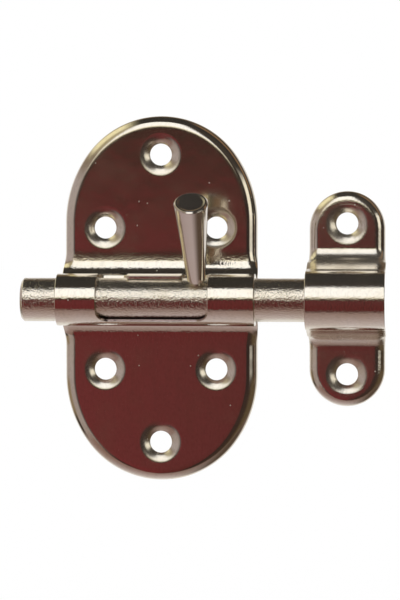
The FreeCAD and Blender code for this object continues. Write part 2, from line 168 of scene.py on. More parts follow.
def mix_colours(tree: Tree, factor: Value, *pair: Colour | Socket) -> Socket:
    """Mixes two colours, constants or sockets, and gives the result's socket."""
    first, second = ((*item, 1.0) if isinstance(item, tuple) else item for item in pair)
    return add_node(tree, "ShaderNodeMix", {0: factor, 6: first, 7: second},
                    data_type="RGBA", clamp_factor=True).outputs[2]


def cleared(owner: Material | bpy.types.World) -> Tree:
    """Gives a material or a world an empty node tree."""
    owner.use_nodes = True
    owner.node_tree.nodes.clear()
    return owner.node_tree


# Finishes


CLOUD_SIZE = 9.0  # of the plate's yellowed and dull places
DIM_SPOT: Colour = (0.42, 0.40, 0.33)  # the plate's colour in its dim spots
SPECK_CELL = 2.4  # one place for a speck of dust or a pit in each such cell
SPECK_HEIGHT = 0.03
SPECK_DULL = 6.0  # how dull a speck is, against the dull places
CUT_X, CUT_Z = (-14.0, 12.8), (-5.2, -3.6)  # the lower cut edge of the barrel's window
CUT_GAP_SHADE: Colour = (0.05, 0.035, 0.03)  # painted shade of the gap to the bolt, on that edge's inner part beside the bolt
CUT_PALE: Colour = (0.50, 0.40, 0.42)  # and a pale pinkish tone further out on the cut face


@dataclass(frozen=True)
class NickelPlate:
    """Warm nickel over pressed or turned steel. Lengths are in millimetres."""

    name: str
    metal: Colour  # the plate's own colour
    tarnish: Colour  # the colour of its thin, yellowed places
    roughness: float
    roughness_swing: float  # how much rougher the dull places are
    grain_size: float  # of the pitting that the plate doesn't fill
    grain_height: float
    wave_size: float  # of the sheet's or bar's slow unevenness
    wave_height: float
    speck_share: float = 0.0  # 0 for no dust and pits, towards 1 for many
    satin_span: tuple[float, ...] = ()  # X between which the plate is duller
    satin: float = 0.0  # how much rougher it is there
    formed: float = 0.0  # Z up to which a sheet is drawn rough, or 0 for no sheet
    flat_grain: float = 0.1  # share of the grain that a sheet's flats keep
    streak_height: float = 0.0  # of the drawing lines that run up the sheet
    leg_satin: float = 0.0  # how much rougher the form's legs are in the satin's span
    mottle: float = 0.0  # how far the sheet's dim spots darken it
    dishes: tuple[Point, ...] = ()  # X and Z of the pressed dishes, without their signs
    dish_satin: float = 0.0  # how much rougher the dishes are

    def material(self) -> Material:
        """Builds the finish on Object coordinates and returns it."""
        made = bpy.data.materials.new(self.name + "_finish")
        tree = cleared(made)
        place = add_node(tree, "ShaderNodeTexCoord").outputs["Object"]
        x, y, z = (part / MM for part in split(tree, place))

        def noise(size: float, detail: float, along: float = 1.0) -> Value:
            """Noise with features of that size, drawn out along Z where along is under 1."""
            at = add_node(tree, "ShaderNodeMapping", {"Vector": place, "Scale": (1.0, 1.0, along)}).outputs[0]
            return Value(tree, add_node(tree, "ShaderNodeTexNoise", {
                "Vector": at, "Scale": 1.0 / (size * MM), "Detail": detail, "Roughness": 0.55}).outputs["Fac"])

        cloud = noise(CLOUD_SIZE, 3.0)
        dull = cloud.step(0.45, 0.75)
        colour = mix_colours(tree, cloud.step(0.35, 0.8) * 0.8, self.metal, self.tarnish)
        grain = noise(self.grain_size, 1.5)
        height = noise(self.wave_size, 1.0) * (self.wave_height * MM)
        rubbed: Value | float = 0.0
        if self.satin_span:
            satin = x.band(*self.satin_span, 2.0)
            rubbed = satin * self.satin
        if self.formed:
            aside, off, girth = x.math("ABSOLUTE"), z.math("ABSOLUTE"), distance(y - AXIS_Y, z)
            rubbed = rubbed + satin * off.band(8.0, 11.0, 2.0) * self.leg_satin
            for hole_x, hole_z in self.dishes:
                rubbed = rubbed + distance(aside - hole_x, off - hole_z).step(5.3, 4.2) * self.dish_satin
            drawn = off.step(self.formed + 2.5, self.formed - 0.5).math("MAXIMUM", satin * 0.6)
            grain = grain * (drawn * (1.0 - self.flat_grain) + self.flat_grain)
            height = height + noise(0.5, 2.0, 0.04) * (self.streak_height * MM)
            dim = noise(0.5, 2.0, 0.55).step(0.46, 0.66) * self.mottle
            # The window's lower cut edge: painted shade beside the bolt, where the gap to the barrel is, and a
            # pale pinkish tone further out.
            cut = girth.step(5.95, 5.8) * z.band(*CUT_Z, 0.4) * x.band(*CUT_X, 0.4)
            colour = mix_colours(tree, cut, mix_colours(tree, dim, colour, DIM_SPOT),
                                 mix_colours(tree, girth.step(5.3, 5.6), CUT_GAP_SHADE, CUT_PALE))
        height = height + grain * (self.grain_height * MM)
        if self.speck_share:
            cells = add_node(tree, "ShaderNodeTexVoronoi", {
                "Vector": place, "Scale": 1.0 / (SPECK_CELL * MM), "Randomness": 1.0}, feature="F1").outputs
            chosen = add_node(tree, "ShaderNodeSeparateColor", {"Color": cells["Color"]}).outputs[0]
            speck = (Value(tree, cells["Distance"]).step(0.07, 0.03)
                     * Value(tree, chosen).step(1.0 - self.speck_share, 1.0 - self.speck_share * 0.8))
            height = height + speck * (SPECK_HEIGHT * MM)
            dull = dull + speck * SPECK_DULL
        bump = add_node(tree, "ShaderNodeBump", {"Height": height, "Strength": 1.0, "Distance": 1.0})
        shader = add_node(tree, "ShaderNodeBsdfPrincipled", {
            "Base Color": colour,
            "Metallic": 1.0,
            "Roughness": dull * self.roughness_swing + (rubbed + self.roughness),
            "Normal": bump.outputs[0],
        })
        add_node(tree, "ShaderNodeOutputMaterial", {"Surface": shader.outputs[0]})
        return made


class Finish(Enum):
    """The bolt's finishes."""

    SHEET = NickelPlate(
        "plated_sheet", (0.80, 0.75, 0.67), (0.78, 0.71, 0.58), roughness=0.10, roughness_swing=0.05,
        grain_size=0.42, grain_height=0.032, wave_size=3.2, wave_height=0.020, speck_share=0.40,
        satin_span=(30.0, 60.0), satin=0.03, streak_height=0.0045, formed=9.5, flat_grain=0.06,
        leg_satin=0.14, mottle=0.13, dishes=((13.0, 16.5), (0.0, 33.5), (43.4, 17.5)), dish_satin=0.10)
    ROD = NickelPlate(
        "plated_rod", (0.79, 0.74, 0.65), (0.76, 0.69, 0.56), roughness=0.15, roughness_swing=0.08,
        grain_size=0.42, grain_height=0.105, wave_size=6.0, wave_height=0.010, speck_share=0.1,
        satin_span=(-14.0, 12.8), satin=0.03)
    HANDLE = NickelPlate(
        "turned_handle", (0.76, 0.71, 0.65), (0.74, 0.67, 0.58), roughness=0.13, roughness_swing=0.06,
        grain_size=0.40, grain_height=0.0020, wave_size=5.0, wave_height=0.006)
    CLIP = NickelPlate(
        "spring_steel", (0.32, 0.33, 0.35), (0.24, 0.22, 0.20), roughness=0.30, roughness_swing=0.12,
        grain_size=0.12, grain_height=0.002, wave_size=3.0, wave_height=0.001)

    def dress(self) -> Material:
        """The finish's one material."""
        return bpy.data.materials.get(self.value.name + "_finish") or self.value.material()


# Mesh making


def unit(vectors: Array) -> Array:
    """Vectors made one long."""
    return vectors / np.linalg.norm(vectors, axis=-1, keepdims=True)


def new_mesh(name: str, points: Array, faces: Iterable[Sequence[int]] = ()) -> Mesh:
    """Makes a mesh from points in millimetres and from faces."""
    mesh = bpy.data.meshes.new(name)
    mesh.from_pydata((points * MM).tolist(), [], [list(face) for face in faces])
    return mesh


def new_object(name: str, mesh: Mesh) -> Object:
    """Makes an object of a mesh and puts it in the scene, at the origin."""
    made = bpy.data.objects.new(name, mesh)
    bpy.context.scene.collection.objects.link(made)
    return made


def shape_of(mesh: Mesh) -> tuple[Array, Faces]:
    """A mesh's points in millimetres, and its faces."""
    flat = np.zeros(len(mesh.vertices) * 3)
    mesh.vertices.foreach_get("co", flat)
    return flat.reshape(-1, 3) / MM, [tuple(face.vertices) for face in mesh.polygons]


def new_piece(name: str, points: Array, normals: Array, faces: Faces, finish: Finish) -> Object:
    """Makes a smooth object with the normals that are given.

    Args:
        name: its name.
        points: its points, in millimetres.
        normals: one for each point.
        faces: its faces.
        finish: what it is dressed in.

    Returns:
        The object, at the origin.
    """
    mesh = new_mesh(name, points, faces)
    mesh.polygons.foreach_set("use_smooth", [True] * len(mesh.polygons))
    mesh.materials.append(finish.dress())
    mesh.update()
    mesh.normals_split_custom_set_from_vertices(normals.tolist())
    return new_object(name, mesh)


def rounded(corners: Sequence[Triple], step: float, closed: bool) -> Array:
    """A chain of straight lines whose corners are rounded.

    Args:
        corners: across, up and radius of each corner. The ends of an open chain have no radius.
        step: the longest distance between two points.
        closed: whether the last corner joins the first.

    Returns:
        The points, two numbers each.
    """
    count = len(corners)
    runs: list[Array] = []
    for i, (across, up, radius) in enumerate(corners):
        here = np.array((across, up))
        if radius == 0.0:
            runs.append(here[None, :])
            continue
        back, on = unit(np.array([corners[i - 1][:2], corners[(i + 1) % count][:2]]) - here)
        half = math.acos(np.clip(back @ on, -1.0, 1.0)) / 2
        centre = here + unit(back + on) * radius / math.sin(half)
        first = here + back * radius / math.tan(half) - centre
        last = here + on * radius / math.tan(half) - centre
        turn = math.pi - 2 * half
        steps = max(3, math.ceil(radius * turn / step))
        share = np.linspace(0.0, 1.0, steps + 1)[:, None]
        arc = first * np.sin(turn * (1 - share)) + last * np.sin(turn * share)
        runs.append(centre + arc / math.sin(turn))
    points: list[Array] = []
    for i, run in enumerate(runs):
        points.extend(run)
        if i + 1 < count or closed:
            end = runs[(i + 1) % count][0]
            pieces = max(1, math.ceil(np.linalg.norm(end - run[-1]) / step))
            points.extend(run[-1] + (end - run[-1]) * k / pieces for k in range(1, pieces))
    return np.array(points)


def inside(points: Array, outline: Array) -> Array:
    """Which points lie inside a closed outline."""
    found = np.zeros(len(points), bool)
    x, y = points[:, 0], points[:, 1]
    for (x0, y0), (x1, y1) in zip(outline, np.roll(outline, -1, axis=0)):
        if y0 != y1:
            crosses = (y0 > y) != (y1 > y)
            found ^= crosses & (x < (x1 - x0) * (y - y0) / (y1 - y0) + x0)
    return found


def fill(outline: Array, holes: Sequence[Array], across: float, up: float) -> tuple[Array, Array]:
    """Fills an outline with holes with even triangles.

    Args:
        outline: the closed outline.
        holes: closed outlines that stay empty.
        across: between the columns of points inside.
        up: between their rows.

    Returns:
        The points and the triangles.
    """
    low, high = outline.min(0), outline.max(0)
    grid = np.stack(np.meshgrid(np.arange(low[0] + across / 2, high[0], across),
                                np.arange(low[1] + up / 2, high[1], up)), -1)
    grid[1::2, :, 0] += across / 2
    grid = grid.reshape(-1, 2)

    def free(spots: Array) -> Array:
        """Which spots lie in the outline and in none of its holes."""
        return inside(spots, outline) & ~np.any([inside(spots, hole) for hole in holes], axis=0)

    grid = grid[free(grid)]
    edge = np.concatenate([outline, *holes])
    apart = np.linalg.norm((grid[:, None] - edge[None]) / (across, up), axis=2).min(1)
    grid = grid[apart > CLEAR]
    lines = []
    for loop in (outline, *holes):
        start, count = len(lines), len(loop)
        lines += [(start + i, start + (i + 1) % count) for i in range(count)]
    made = geometry.delaunay_2d_cdt([Vector(spot) for spot in (*edge, *grid)], lines, [], 0, 1e-6)
    points = np.array([tuple(point) for point in made[0]])
    triangles = np.array(made[2])
    return points, triangles[free(points[triangles].mean(1))]


@dataclass
class SheetFace:
    """The front face of a pressed sheet, put together from patches that share the points of their seams."""

    points: list[Array] = field(default_factory=list)
    normals: list[Array] = field(default_factory=list)
    faces: Faces = field(default_factory=list)

    def add(self, points: Array, normals: Array, faces: Iterable[Sequence[int]]) -> None:
        """Adds a patch. Its normals point out of the front, or are zero where the mesh gives them later."""
        count = sum(map(len, self.points))
        self.faces += [tuple(int(i) + count for i in face) for face in faces]
        self.points.append(points.reshape(-1, 3))
        self.normals.append(normals.reshape(-1, 3))

    def add_grid(self, points: Array, normals: Array) -> None:
        """Adds a patch of rows and columns of points."""
        rows, columns = points.shape[:2]
        corners = [i * columns + j for i in range(rows - 1) for j in range(columns - 1)]
        self.add(points, normals, [(i, i + 1, i + columns + 1, i + columns) for i in corners])

    def welded(self) -> tuple[Array, Array, Faces]:
        """Joins the patches.

        Returns:
            The points, their normals and the faces, all facing out.
        """
        points = np.concatenate(self.points)
        normals = np.concatenate(self.normals)
        tree = kdtree.KDTree(len(points))
        for i, point in enumerate(points):
            tree.insert(point, i)
        tree.balance()
        first = np.array([min(index for _, index, _ in tree.find_range(point, WELD)) for point in points])
        for i, target in enumerate(first):
            if target != i and not normals[target].any():
                normals[target] = normals[i]
        kept, number = np.unique(first, return_inverse=True)
        faces = []
        for face in self.faces:
            joined = number[list(face)].tolist()
            joined = [i for k, i in enumerate(joined) if i != joined[k - 1]]
            if len(joined) > 2:
                faces.append(tuple(joined))
        return points[kept], *face_the_front(points[kept], normals[kept], faces)


def face_the_front(points: Array, normals: Array, faces: Faces) -> tuple[Array, Faces]:
    """Turns faces the way of their points' normals, and finds the normals that are missing.

    Args:
        points: the points.
        normals: their normals, zero where one is missing.
        faces: the faces.

    Returns:
        The normals and the faces.
    """
    turned = []
    spread = np.zeros_like(points)
    for face in faces:
        at = list(face)
        corners, known = points[at], normals[at].sum(0)
        flat = np.cross(corners[2] - corners[0], corners[-1] - corners[1])
        if flat @ (known if known.any() else (0.0, -1.0, 0.0)) < 0:
            face, flat = face[::-1], -flat
        turned.append(face)
        spread[at] += flat
    return unit(np.where(normals.any(1, keepdims=True), normals, spread)), turned


def thicken(points: Array, normals: Array, faces: Faces) -> tuple[Array, Array, Faces]:
    """Gives a sheet's front face its back, and rounded edges between the two.

    Args:
        points: the front's points. Its edges lie one edge radius inside the sheet's.
        normals: their normals.
        faces: the front's faces, facing out.

    Returns:
        The closed sheet's points, normals and faces.
    """
    count = len(points)
    sides = {(a, b) for face in faces for a, b in zip(face, face[1:] + face[:1])}
    after = {a: b for a, b in sides if (b, a) not in sides}
    before = {b: a for a, b in after.items()}
    rim = sorted(after)
    here, up = points[rim], normals[rim]
    along = unit(here - points[[before[v] for v in rim]]) + unit(points[[after[v] for v in rim]] - here)
    out = unit(np.cross(along, up))
    rows: list[Array] = []
    leans: list[Array] = []
    for degrees, depth in ((30, EDGE), (60, EDGE), (90, EDGE), (90, SHEET - EDGE), (120, SHEET - EDGE),
                           (150, SHEET - EDGE)):
        turn = math.radians(degrees)
        leans.append(up * math.cos(turn) + out * math.sin(turn))
        rows.append(here + leans[-1] * EDGE - up * depth)
    last = 2 * count + len(rows) * len(rim)
    strips = {vertex: [vertex, *range(2 * count + k, last, len(rim)), vertex + count]
              for k, vertex in enumerate(rim)}
    all_faces = list(faces) + [tuple(i + count for i in face[::-1]) for face in faces]
    for a, b in after.items():
        left, right = strips[b], strips[a]
        all_faces += zip(left, right, right[1:], left[1:])
    return (np.concatenate([points, points - normals * SHEET, *rows]),
            np.concatenate([normals, -normals, *leans]), all_faces)


# Turned and swept pieces, made by node trees


def new_tree(name: str, **inputs: str) -> tuple[Tree, bpy.types.NodeOutputs]:
    """Starts a geometry tree.

    Args:
        name: its name.
        inputs: the kind of each input, by name, besides Geometry and Material.

    Returns:
        The tree and its inputs' sockets.
    """
    tree = bpy.data.node_groups.new(name, "GeometryNodeTree")
    for title, kind in {"Geometry": "Geometry", "Material": "Material", **inputs}.items():
        tree.interface.new_socket(title, in_out="INPUT", socket_type="NodeSocket" + kind)
    tree.interface.new_socket("Geometry", in_out="OUTPUT", socket_type="NodeSocketGeometry")
    return tree, add_node(tree, "NodeGroupInput").outputs


def end_tree(tree: Tree, shape: Socket, material: Socket) -> None:
    """Ends a geometry tree: real meshes, dressed in its material."""
    real = add_node(tree, "GeometryNodeRealizeInstances", {"Geometry": shape})
    dressed = add_node(tree, "GeometryNodeSetMaterial", {"Geometry": real.outputs[0], "Material": material})
    add_node(tree, "NodeGroupOutput", {"Geometry": dressed.outputs[0]})


def run_tree(tree: Tree, points: Array, **settings: object) -> Mesh:
    """Evaluates a geometry tree on a mesh of loose points.

    Args:
        tree: the tree.
        points: two or three numbers each, in millimetres.
        settings: its named inputs.

    Returns:
        The result, as a plain mesh.
    """
    holder = new_object("holder", new_mesh("holder", np.pad(points, ((0, 0), (0, 3 - points.shape[1])))))
    modifier = holder.modifiers.new("tree", "NODES")
    modifier.node_group = tree
    for item in tree.interface.items_tree:
        if item.in_out == "INPUT" and item.name in settings:
            modifier[item.identifier] = settings[item.name]
    holder.update_tag()
    bpy.context.view_layer.update()
    evaluated = holder.evaluated_get(bpy.context.evaluated_depsgraph_get())
    made = bpy.data.meshes.new_from_object(evaluated)
    holder.modifiers.remove(modifier)
    bpy.data.objects.remove(holder)
    return made


def lathe_tree() -> Tree:
    """Builds the tree that turns a chain of points about an axis.

    The chain's X is the distance along the axis and its Y the radius. The tree bends a grid with one row
    for each point of the chain, and joins the seam and the poles.

    Returns:
        The tree, with the inputs Geometry, Steps, Base, Axis, Side and Material.
    """
    tree, source = new_tree("lathe", Steps="Int", Base="Vector", Axis="Vector", Side="Vector")
    chain = source["Geometry"]
    count = add_node(tree, "GeometryNodeAttributeDomainSize", {"Geometry": chain}, component="MESH")
    steps, rows = Value(tree, source["Steps"]), Value(tree, count.outputs["Point Count"])
    grid = add_node(tree, "GeometryNodeMeshGrid",
                    {"Size X": 1.0, "Size Y": 1.0, "Vertices X": steps + 1.0, "Vertices Y": rows})
    index = Value(tree, add_node(tree, "GeometryNodeInputIndex").outputs[0])
    column = (index / rows).math("FLOOR")
    place = add_node(tree, "GeometryNodeInputPosition").outputs[0]
    sample = add_node(tree, "GeometryNodeSampleIndex",
                      {"Geometry": chain, "Value": place, "Index": index - column * rows},
                      data_type="FLOAT_VECTOR", domain="POINT")
    along, radius, _ = split(tree, sample.outputs["Value"])
    turn = column / steps * math.tau

    def vector(operation: str, inputs: dict) -> Socket:
        """A Vector Math node's result."""
        return add_node(tree, "ShaderNodeVectorMath", inputs, operation=operation).outputs[0]

    total = source["Base"]
    for direction, factor in ((source["Axis"], along), (source["Side"], radius * turn.math("COSINE")),
                              (vector("CROSS_PRODUCT", {0: source["Axis"], 1: source["Side"]}),
                               radius * turn.math("SINE"))):
        total = vector("ADD", {0: total, 1: vector("SCALE", {"Vector": direction, "Scale": factor})})
    bent = add_node(tree, "GeometryNodeSetPosition", {"Geometry": grid.outputs["Mesh"], "Position": total})
    joined = add_node(tree, "GeometryNodeMergeByDistance", {"Geometry": bent.outputs[0], "Distance": WELD * MM})
    end_tree(tree, joined.outputs[0], source["Material"])
    return tree


def stamps_tree() -> Tree:
    """Builds the tree that sets a copy of one piece at each point.

    Returns:
        The tree, with the inputs Geometry, Piece and Material.
    """
    tree, source = new_tree("stamps", Piece="Object")
    piece = add_node(tree, "GeometryNodeObjectInfo", {"Object": source["Piece"]})
    copies = add_node(tree, "GeometryNodeInstanceOnPoints",
                      {"Points": source["Geometry"], "Instance": piece.outputs["Geometry"]})
    end_tree(tree, copies.outputs[0], source["Material"])
    return tree


@dataclass
class Lathe:
    """Turns profiles about an axis with one node tree."""

    tree: Tree = field(default_factory=lathe_tree)

    def turn(self, name: str, chain: Array, base: Vector, axis: Vector, side: Vector, steps: int,
             finish: Finish) -> Object:
        """Makes a closed turned piece.

        Args:
            name: its name.
            chain: its profile, distance and radius each, from one end of the axis to the other.
            base: the point of the axis where the distance is 0.
            axis: the axis, one long.
            side: square to it, where the seam lies.
            steps: faces all the way round.
            finish: what it is dressed in.

        Returns:
            The object.
        """
        points, faces = shape_of(run_tree(self.tree, chain, Steps=steps, Base=base * MM, Axis=axis, Side=side,
                                          Material=finish.dress()))
        axle = np.array(axis)
        away = points - np.array(base)
        along = away @ axle
        spoke = away - along[:, None] * axle
        radius = np.linalg.norm(spoke, axis=1)
        slope = unit(np.gradient(chain, axis=0)[:, ::-1] * (-1.0, 1.0))
        nearest = np.linalg.norm(np.stack([along, radius], 1)[:, None] - chain, axis=2).argmin(1)
        outward = spoke / np.where(radius > WELD, radius, 1.0)[:, None]
        normals = unit(slope[nearest, 0, None] * axle + slope[nearest, 1, None] * outward)
        return new_piece(name, points, *face_the_front(points, normals, faces), finish)


# The pressed sheets


def rim_section(depth: float) -> tuple[Array, Array, Array]:
    """Samples a sheet's section from its flat, over the rim, to the door.

    Args:
        depth: from the flat's front to the door, and the rim's radius.

    Returns:
        The distance in from the outline, the fall below the flat, and the tilt.
    """
    crown_fall = CROWN_TILT * CROWN / 3
    share = np.arange(CROWN_STEPS) / CROWN_STEPS
    lowest = depth - EDGE
    end = math.acos(max(0.0, math.cos(CROWN_TILT) - (lowest - crown_fall) / depth))
    turns = np.linspace(CROWN_TILT, end, RIM_STEPS + 1)
    reach = np.append(share * CROWN, CROWN + depth * (np.sin(turns) - math.sin(CROWN_TILT)))
    fall = np.append(crown_fall * share ** 3, crown_fall + depth * (math.cos(CROWN_TILT) - np.cos(turns)))
    tilts = np.append(CROWN_TILT * share ** 2, turns)
    if fall[-1] < lowest - WELD:
        reach, fall, tilts = np.append(reach, reach[-1]), np.append(fall, lowest), np.append(tilts, end)
    return reach[-1] - reach, fall, tilts


@dataclass(frozen=True)
class Dish:
    """The dish pressed round a screw hole."""

    rim: float = 5.1
    hole: float = 2.5
    bowl: float = 4.0  # radius of the dish's section
    steps: int = 72

    @property
    def slope(self) -> float:
        """The dish's tilt where the hole's rounded edge takes over, in radians."""
        return math.asin((self.rim - self.hole) / (self.bowl + EDGE))

    def chain(self) -> Array:
        """The dish's section: depth and radius, from the flat to the hole."""
        turns = np.linspace(0.0, self.slope, DISH_STEPS + 1)
        return np.stack([self.bowl * (1 - np.cos(turns)), self.rim - self.bowl * np.sin(turns)], 1)

    def circle(self, x: float, z: float) -> Array:
        """The dish's outer edge round a hole's middle."""
        turns = np.arange(self.steps) * math.tau / self.steps
        return np.stack([x + self.rim * np.cos(turns), z + self.rim * np.sin(turns)], 1)

    def normals(self, points: Array, holes: Sequence[Point]) -> Array:
        """The normals of points on dishes at those holes."""
        spokes = points[:, None, ::2] - np.array(holes)[None]
        nearest = np.linalg.norm(spokes, axis=2).argmin(1)
        spoke = spokes[np.arange(len(points)), nearest]
        radius = np.linalg.norm(spoke, axis=1)
        lean = np.arcsin(np.clip((self.rim - radius) / self.bowl, 0.0, math.sin(self.slope)))
        inward = -unit(spoke) * np.sin(lean)[:, None]
        return np.stack([inward[:, 0], -np.cos(lean), inward[:, 1]], 1)


@dataclass
class Stamping:
    """A sheet with a dished flat above and below a form that runs round the bolt."""

    name: str
    middle: float  # X of its middle
    height: float  # of the flats' front above the door
    bends: tuple[Triple, ...]  # radius, straight run before it and tilt after it
    neck: float  # half the form's height, behind the bolt
    tube: float  # outside radius round the bolt
    crease: float  # radius between the neck and the tube, or 0
    form_width: float
    holes: tuple[Point, ...]
    half_width: float  # of the outline
    half_length: float
    outline_step: float  # the longest distance between two points of its arcs
    side_rows: int  # points of its straight sides
    curl_run: float = 5.0  # length over which the rim runs out, up the form
    column_step: float = 0.6
    flat_step: float = 1.1
    opening_margin: float = 0.8  # least distance from the opening to the patch's border
    dish: Dish = Dish()

    def arcs(self) -> list[Arc]:
        """The outline's arcs above the form, from right to left."""
        raise NotImplementedError

    def opening(self) -> Array | None:
        """The opening in the tube as X and distance round it, or None."""
        return None

    def outline(self) -> tuple[Array, Array]:
        """Samples the outline above the form, from right to left.

        Returns:
            The points and their outward normals.
        """
        arcs = self.arcs()
        rises = np.linspace(self.reach, arcs[0][0][1], self.side_rows)
        points = [np.stack([np.full(self.side_rows, self.half_width), rises], 1)]
        normals = [np.tile((1.0, 0.0), (self.side_rows, 1))]
        for centre, radius, start, end in arcs:
            turns = np.linspace(start, end, math.ceil((end - start) * radius / self.outline_step) + 1)
            normals.append(np.stack([np.cos(turns), np.sin(turns)], 1))
            points.append(np.array(centre) + radius * normals[-1])
        mirror = np.array((-1.0, 1.0))
        chain = np.concatenate([*points, points[0][::-1] * mirror])
        facing = np.concatenate([*normals, normals[0] * mirror])
        kept = np.append(True, np.linalg.norm(np.diff(chain, axis=0), axis=1) > WELD)
        return chain[kept], facing[kept]

    def bend_run(self) -> list[Triple]:
        """Samples the section from the flat to the neck.

        Returns:
            The way out from the flat, the way in towards the bolt, and the tilt, for each point.
        """
        out, into, tilt = 0.0, 0.0, 0.0
        run = [(out, into, tilt)]
        for radius, straight, end_angle in self.bends:
            for _ in range(4 if straight else 0):
                out += straight / 4 * math.sin(tilt)
                into += straight / 4 * math.cos(tilt)
                run.append((out, into, tilt))
            start_out, start_into, start, end = out, into, tilt, math.radians(end_angle)
            steps = max(4, math.ceil(math.degrees(end - start) / BEND_STEP))
            for tilt in np.linspace(start, end, steps + 1)[1:]:
                out = start_out + radius * (math.cos(start) - math.cos(tilt))
                into = start_into + radius * (math.sin(tilt) - math.sin(start))
                run.append((out, into, tilt))
        return run

    @property
    def reach(self) -> float:
        """Where the flats end."""
        return self.neck + self.bend_run()[-1][1]

    def form(self) -> Array:
        """Samples the form's section from the upper flat to the middle of the tube's front.

        Returns:
            Y, Z, the normal's Y and Z, and the share of the rim's curl, for each row.
        """
        run = self.bend_run()
        rows = [(-self.height - out, self.reach - into, -math.cos(tilt), math.sin(tilt))
                for out, into, tilt in run]
        lift = self.height + run[-1][0]
        if self.crease:
            back = math.sqrt((self.tube + self.crease) ** 2 - (self.neck + self.crease) ** 2)
            centre_y, centre_z = AXIS_Y + back, self.neck + self.crease
            top = math.atan2(centre_z, back)
            for turn in np.linspace(0.0, math.pi / 2 - top, CREASE_STEPS + 1):
                rows.append((centre_y - self.crease * math.sin(turn), centre_z - self.crease * math.cos(turn),
                             math.sin(turn), math.cos(turn)))
            start = math.degrees(math.pi - top)
        else:
            rows += [(-lift + (AXIS_Y + lift) * share, self.neck, 0.0, 1.0) for share in (0.25, 0.5, 0.75)]
            start = 90.0
        steps = math.ceil(start / TUBE_STEP)
        for angle in np.radians(np.linspace(start, 0.0, steps + 1)[1 if self.crease else 0:]):
            rows.append((AXIS_Y - self.tube * math.cos(angle), self.tube * math.sin(angle),
                         -math.cos(angle), math.sin(angle)))
        made = np.array(rows)
        gone = np.cumsum(np.append(0.0, np.linalg.norm(np.diff(made[:, :2], axis=0), axis=1)))
        share = np.minimum(1.0, gone / self.curl_run)
        return np.column_stack([made, 1.0 - share * share * (3 - 2 * share)])

    def build(self, lathe: Lathe, stamps: Tree, finish: Finish) -> Object:
        """Makes the sheet.

        Args:
            lathe: turns the dish.
            stamps: the tree that sets the dishes.
            finish: what the sheet is dressed in.

        Returns:
            The object.
        """
        face = SheetFace()
        section = rim_section(self.height)
        points, outward = self.outline()
        half = points[0, 0] - section[0][0]
        columns = np.linspace(-half, half, 2 * math.ceil(half / self.column_step) + 1)
        self._add_flats(face, columns, points, outward, *section)
        self._add_dishes(face, lathe, stamps)
        self._add_form(face, columns, *section[:2])
        solid, facing, faces = thicken(*face.welded())
        side = max(points[:, 0].max(), self.form_width / 2)
        solid[:, 0] = solid[:, 0].clip(-side, side) + self.middle
        solid[:, 1] = solid[:, 1].clip(None, 0.0)
        return new_piece(self.name, solid, facing, faces, finish)

    def _add_flats(self, face: SheetFace, columns: Array, points: Array, outward: Array, inward: Array,
                   fall: Array, tilts: Array) -> None:
        """Adds the flats above and below the form, each with its rim."""
        base = np.stack([columns[1:-1], np.full(len(columns) - 2, self.reach)], 1)
        circles = [self.dish.circle(x, z) for x, z in self.holes if z > 0]
        flat, triangles = fill(np.concatenate([points - outward * inward[0], base]), circles,
                               self.flat_step, self.flat_step)
        flat = np.insert(flat, 1, -self.height, axis=1)
        rim = np.insert(points[:, None] - outward[:, None] * inward[:, None], 1, fall - self.height, axis=2)
        lean = np.insert(outward[:, None] * np.sin(tilts)[:, None], 1, -np.cos(tilts), axis=2)
        for mirror in ((1.0, 1.0, 1.0), (1.0, 1.0, -1.0)):
            face.add(flat * mirror, np.tile((0.0, -1.0, 0.0), (len(flat), 1)), triangles)
            face.add_grid(rim * mirror, lean * mirror)

    def _add_dishes(self, face: SheetFace, lathe: Lathe, stamps: Tree) -> None:
        """Adds one dish at each hole."""
        ring = new_object("dish_ring", run_tree(lathe.tree, self.dish.chain(), Steps=self.dish.steps,
                                                Axis=(0.0, 1.0, 0.0), Side=(1.0, 0.0, 0.0)))
        spots = np.array([(x, -self.height, z) for x, z in self.holes])
        points, faces = shape_of(run_tree(stamps, spots, Piece=ring))
        bpy.data.objects.remove(ring)
        face.add(points, self.dish.normals(points, self.holes), faces)

    def _add_form(self, face: SheetFace, columns: Array, inward: Array, fall: Array) -> None:
        """Adds the form: the bends, the necks and the tube with its opening."""
        upper = self.form()
        rows = np.concatenate([upper, upper[-2::-1] * (1.0, -1.0, 1.0, -1.0, 1.0)])
        place, facing, curl = rows[:, None, :2], rows[:, None, 2:4], rows[:, 4:]
        share = np.linspace(0.0, 1.0, len(inward))
        spread = inward[0] * (1 - share) + EDGE * share
        flat_half = columns[-1] + inward[0]
        half = flat_half + (self.form_width / 2 - flat_half) * (1 - curl)
        middle = columns * (half - inward[0]) / columns[-1]
        side = half - (curl * inward + (1 - curl) * spread)
        across = np.concatenate([-side[:, :0:-1], middle, side[:, 1:]], 1)
        drop = np.concatenate([fall[:0:-1], np.zeros(len(columns)), fall[1:]]) * curl
        grid = np.concatenate([across[..., None], place - facing * drop[..., None]], 2)
        rim = len(inward) - 1
        straight = rows[:, 4] == 0.0
        normals = np.zeros_like(grid)
        normals[:, rim:-rim, 1:] = facing
        normals[straight, :, 1:] = facing[straight]
        outline = self.opening()
        if outline is None:
            face.add_grid(grid, normals)
            return
        around = np.arctan2(rows[:, 1], AXIS_Y - rows[:, 0]) * self.tube
        below_top = straight & (around < outline[:, 1].max() + self.opening_margin)
        above_end = straight & (around > outline[:, 1].min() - self.opening_margin)
        first = int(np.argmax(below_top)) - 1
        last = len(rows) - int(np.argmax(above_end[::-1]))
        span = slice(first, last + 1)
        for patch in (np.s_[:first + 1], np.s_[last:], np.s_[span, :rim + 1], np.s_[span, -rim - 1:]):
            face.add_grid(grid[patch], normals[patch])
        row = grid[first, rim:-rim, 0]
        border = [(row[-1], s) for s in around[last:first:-1]]
        border += [(x, around[first]) for x in row[::-1]]
        border += [(row[0], s) for s in around[first + 1:last]]
        border += [(x, around[last]) for x in row[:-1]]
